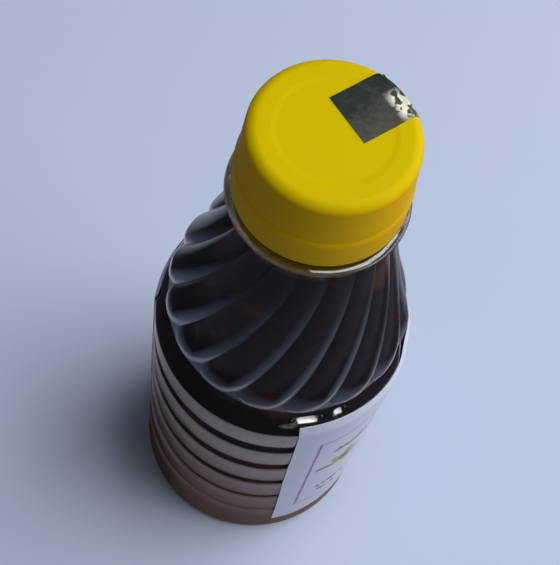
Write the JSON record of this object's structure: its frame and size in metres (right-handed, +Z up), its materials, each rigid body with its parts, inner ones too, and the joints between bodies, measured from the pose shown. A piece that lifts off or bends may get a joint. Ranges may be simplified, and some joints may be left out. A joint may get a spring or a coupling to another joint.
{
  "type": "mustard oil bottle",
  "caption": "Small clear plastic bottle of dark cooking oil with a beaded body, a twisted fluted shoulder, a paper label and a yellow screw cap.",
  "frame": {"origin": "middle of the foot ring, on the surface that the bottle stands on", "axes": "+Z up along the bottle's axis; the label's leading edge is at a bearing of -67.3 degrees, clockwise of +X seen from above"},
  "size_m": [0.055, 0.0547, 0.1496],
  "materials": {
    "clear_pet": "clear, glossy blown plastic",
    "dark_oil": "liquid, nearly black brown in bulk",
    "yellow_cap": "moulded, satin gloss",
    "label_paper": "coated paper, matt",
    "silver_foil": "crinkled metal foil, mirror-like"
  },
  "bodies": {
    "root": {"bottle": "clear_pet", "oil": "dark_oil", "cap": "yellow_cap", "label": "label_paper", "foil_sticker": "silver_foil"}
  },
  "joints": []
}
